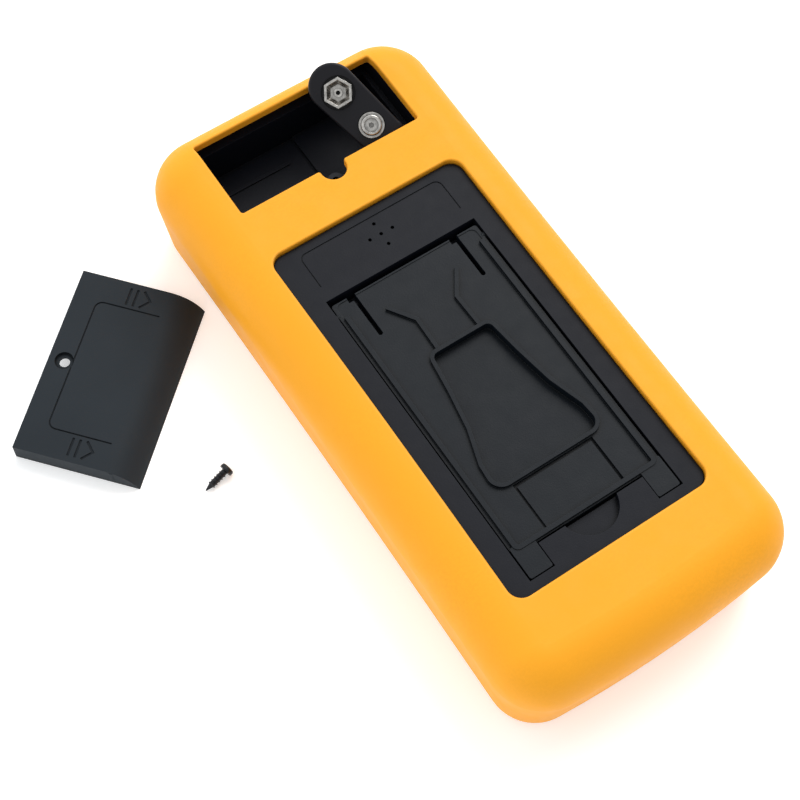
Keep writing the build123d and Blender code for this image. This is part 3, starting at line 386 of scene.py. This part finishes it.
# ---------------------------------------------------------------- front print
INK_LIFT = 0.03 * MM             # how far ink stands proud of what it is printed on
SEGMENT_LIFT = 0.05 * MM
POINTER_GROOVE = 0.4 * MM        # depth of the groove that holds the dial's pointer line
RANGES = ("OFF", "600", "200", "20", "2", "200m", "2m", "20m", "200m", "10", "hFE",
          "20n", "2u", "200", "2k", "20k", "200k", "2M", "600", "200")
TICKS = (24.9, 26.4)             # mm from the dial's centre, as the next three are
RANGE_VALUES = 28.9
RANGE_ARCS = 31.4
POINTER = (9.2, 17.8)
ARC_SPANS = ((10, 98), (100, 170), (190, 224), (226, 332))
JACKS = {"jack_high_current": "10A", "jack_milliamp": "mA", "jack_common": "COM",
         "jack_volt_ohm": "V"}
JACK_RING = 6.2                  # mm
RING_SPANS = {"jack_high_current": (55, 305), "jack_volt_ohm": (-125, 125)}   # others go all round
JACK_LABEL_RISE = 8.6
VOLT_BOX = (-32.3, -2.4, -78.4, -58.9)   # x and y limits of the box round the two voltage jacks
BUTTON_LABEL_X = 27.0
BUTTON_LABEL_RISE = 0.6
DIGITS = 4
DIGIT_PITCH = 12.0
DIGIT_SIZE = (3.6, 7.6)          # half the width and half the height
DIGIT_BAR = 1.2
DIGIT_RISE = 0.5


def middle(node):
    """The middle of a node's box, in mm across the front."""
    low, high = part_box(node)
    return (low.x + high.x) / 2 / MM, (low.y + high.y) / 2 / MM


DIAL_AT = middle("rotary_knob")


class Ink:
    """Thin printed shapes in one colour, drawn in mm as seen from the front, lying on one plane."""

    def __init__(self, name, colour, z, rough=0.45):
        self.name = name
        self.z = z
        self.points = []
        self.faces = []
        f = Finish(name, rough, specular=0.3)
        cloud = f.spread(f.noise(0.001, 3.0), 0.35, 0.7)
        f.colour(f.mix(cloud, colour, scaled(colour, 0.9)))
        self.material = f.material

    def face(self, corners):
        start = len(self.points)
        self.points += [(x * MM, y * MM, self.z) for x, y in corners]
        self.faces.append(list(range(start, start + len(corners)))[::-1])

    def line(self, a, b, width):
        dx, dy = b[0] - a[0], b[1] - a[1]
        length = math.hypot(dx, dy)
        nx, ny = -dy / length * width / 2, dx / length * width / 2
        self.face([(a[0] - nx, a[1] - ny), (b[0] - nx, b[1] - ny),
                   (b[0] + nx, b[1] + ny), (a[0] + nx, a[1] + ny)])

    def arc(self, centre, radius, start, end, width, steps=48):
        """A ring segment between two angles in degrees."""
        for i in range(steps):
            ring = []
            for r, j in ((radius - width / 2, i), (radius + width / 2, i),
                         (radius + width / 2, i + 1), (radius - width / 2, i + 1)):
                a = math.radians(start + (end - start) * j / steps)
                ring.append((centre[0] + r * math.cos(a), centre[1] + r * math.sin(a)))
            self.face(ring)

    def frame(self, x0, x1, y0, y1, width):
        corners = ((x0, y0), (x1, y0), (x1, y1), (x0, y1))
        for i in range(4):
            self.line(corners[i], corners[(i + 1) % 4], width)

    def text(self, words, at, size):
        """Generic digits and units, readable from the front."""
        curve = bpy.data.curves.new("text", "FONT")
        curve.body = words
        curve.size = size * MM
        curve.align_x = "CENTER"
        curve.align_y = "CENTER"
        curve.resolution_u = 3
        letters = bpy.data.objects.new("text", curve)
        mesh = letters.to_mesh()
        start = len(self.points)
        self.points += [(at[0] * MM - v.co.x, at[1] * MM + v.co.y, self.z) for v in mesh.vertices]
        self.faces += [[start + v for v in p.vertices] for p in mesh.polygons]
        letters.to_mesh_clear()
        bpy.data.objects.remove(letters)
        bpy.data.curves.remove(curve)

    def finish(self, body="meter"):
        mesh = bpy.data.meshes.new(self.name)
        mesh.from_pydata(self.points, [], self.faces)
        mesh.materials.append(self.material)
        printed = bpy.data.objects.new(self.name, mesh)
        scene.collection.objects.link(printed)
        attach(printed, body)


def around(radius, degrees):
    """A point at a distance from the dial's centre; 0 degrees is up the meter, turning clockwise."""
    a = math.radians(degrees)
    return (DIAL_AT[0] - radius * math.sin(a), DIAL_AT[1] + radius * math.cos(a))


def print_front():
    """Range marks round the dial, rings and a box round the jacks, and the buttons' names."""
    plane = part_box("front_label")[0].z - INK_LIFT
    white = Ink("ink_white", (0.75, 0.76, 0.76), plane)
    orange = Ink("ink_orange", (0.85, 0.33, 0.03), plane)
    for i, value in enumerate(RANGES):
        turn = 360.0 / len(RANGES) * i
        white.line(around(TICKS[0], turn), around(TICKS[1], turn), 0.35)
        white.text(value, around(RANGE_VALUES, turn), 2.1)
    for start, end in ARC_SPANS:
        orange.arc(DIAL_AT, RANGE_ARCS, 90 + start, 90 + end, 0.35)
    for node, mark in JACKS.items():
        x, y = middle(node)
        white.arc((x, y), JACK_RING, *RING_SPANS.get(node, (0, 360)), 0.3)
        white.text(mark, (x, y + JACK_LABEL_RISE), 2.2)
    orange.frame(*VOLT_BOX, 0.3)
    for node, side, word in (("power_button", -1, "POWER"), ("hold_button", 1, "HOLD")):
        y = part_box(node)[1].y / MM + BUTTON_LABEL_RISE
        white.text(word, (BUTTON_LABEL_X * side, y), 1.9)
    white.finish()
    orange.finish()


def print_pointer():
    pointer = Ink("ink_pointer", (0.80, 0.80, 0.78),
                  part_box("rotary_knob")[0].z + POINTER_GROOVE - INK_LIFT)
    pointer.line(around(POINTER[0], 0), around(POINTER[1], 0), 0.8)
    pointer.finish("dial")


def draw_digit(ink, x, y):
    """Seven bars of one display digit, all of them unlit."""
    half, tall = DIGIT_SIZE
    for level in (-tall, 0.0, tall):
        ink.line((x - half + 1, y + level), (x + half - 1, y + level), DIGIT_BAR)
    for side in (-half, half):
        for low, high in ((-tall + 0.8, -0.8), (0.8, tall - 0.8)):
            ink.line((x + side, y + low), (x + side, y + high), DIGIT_BAR)


def print_display():
    """The display's digits, as they show faintly when it is off."""
    faint = Ink("display_segments", (0.235, 0.265, 0.20),
                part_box("lcd_glass")[0].z - SEGMENT_LIFT, rough=0.15)
    y = middle("lcd_glass")[1] + DIGIT_RISE
    for i in range(DIGITS):
        draw_digit(faint, DIGIT_PITCH * ((DIGITS - 1) / 2 - i), y)
    faint.finish()


make_camera()
make_studio()
rubber("holster_rubber", (0.95, 0.388, 0.016), (1.0, 0.60, 0.17), 0.52)
plastics()
metals()
clear("clear_lens", (0.95, 0.97, 0.98), 0.04)
clear("fuse_tube", (0.96, 0.97, 0.97), 0.02)
printed_film()
display_glass()
solder_mask()
print_front()
print_pointer()
print_display()
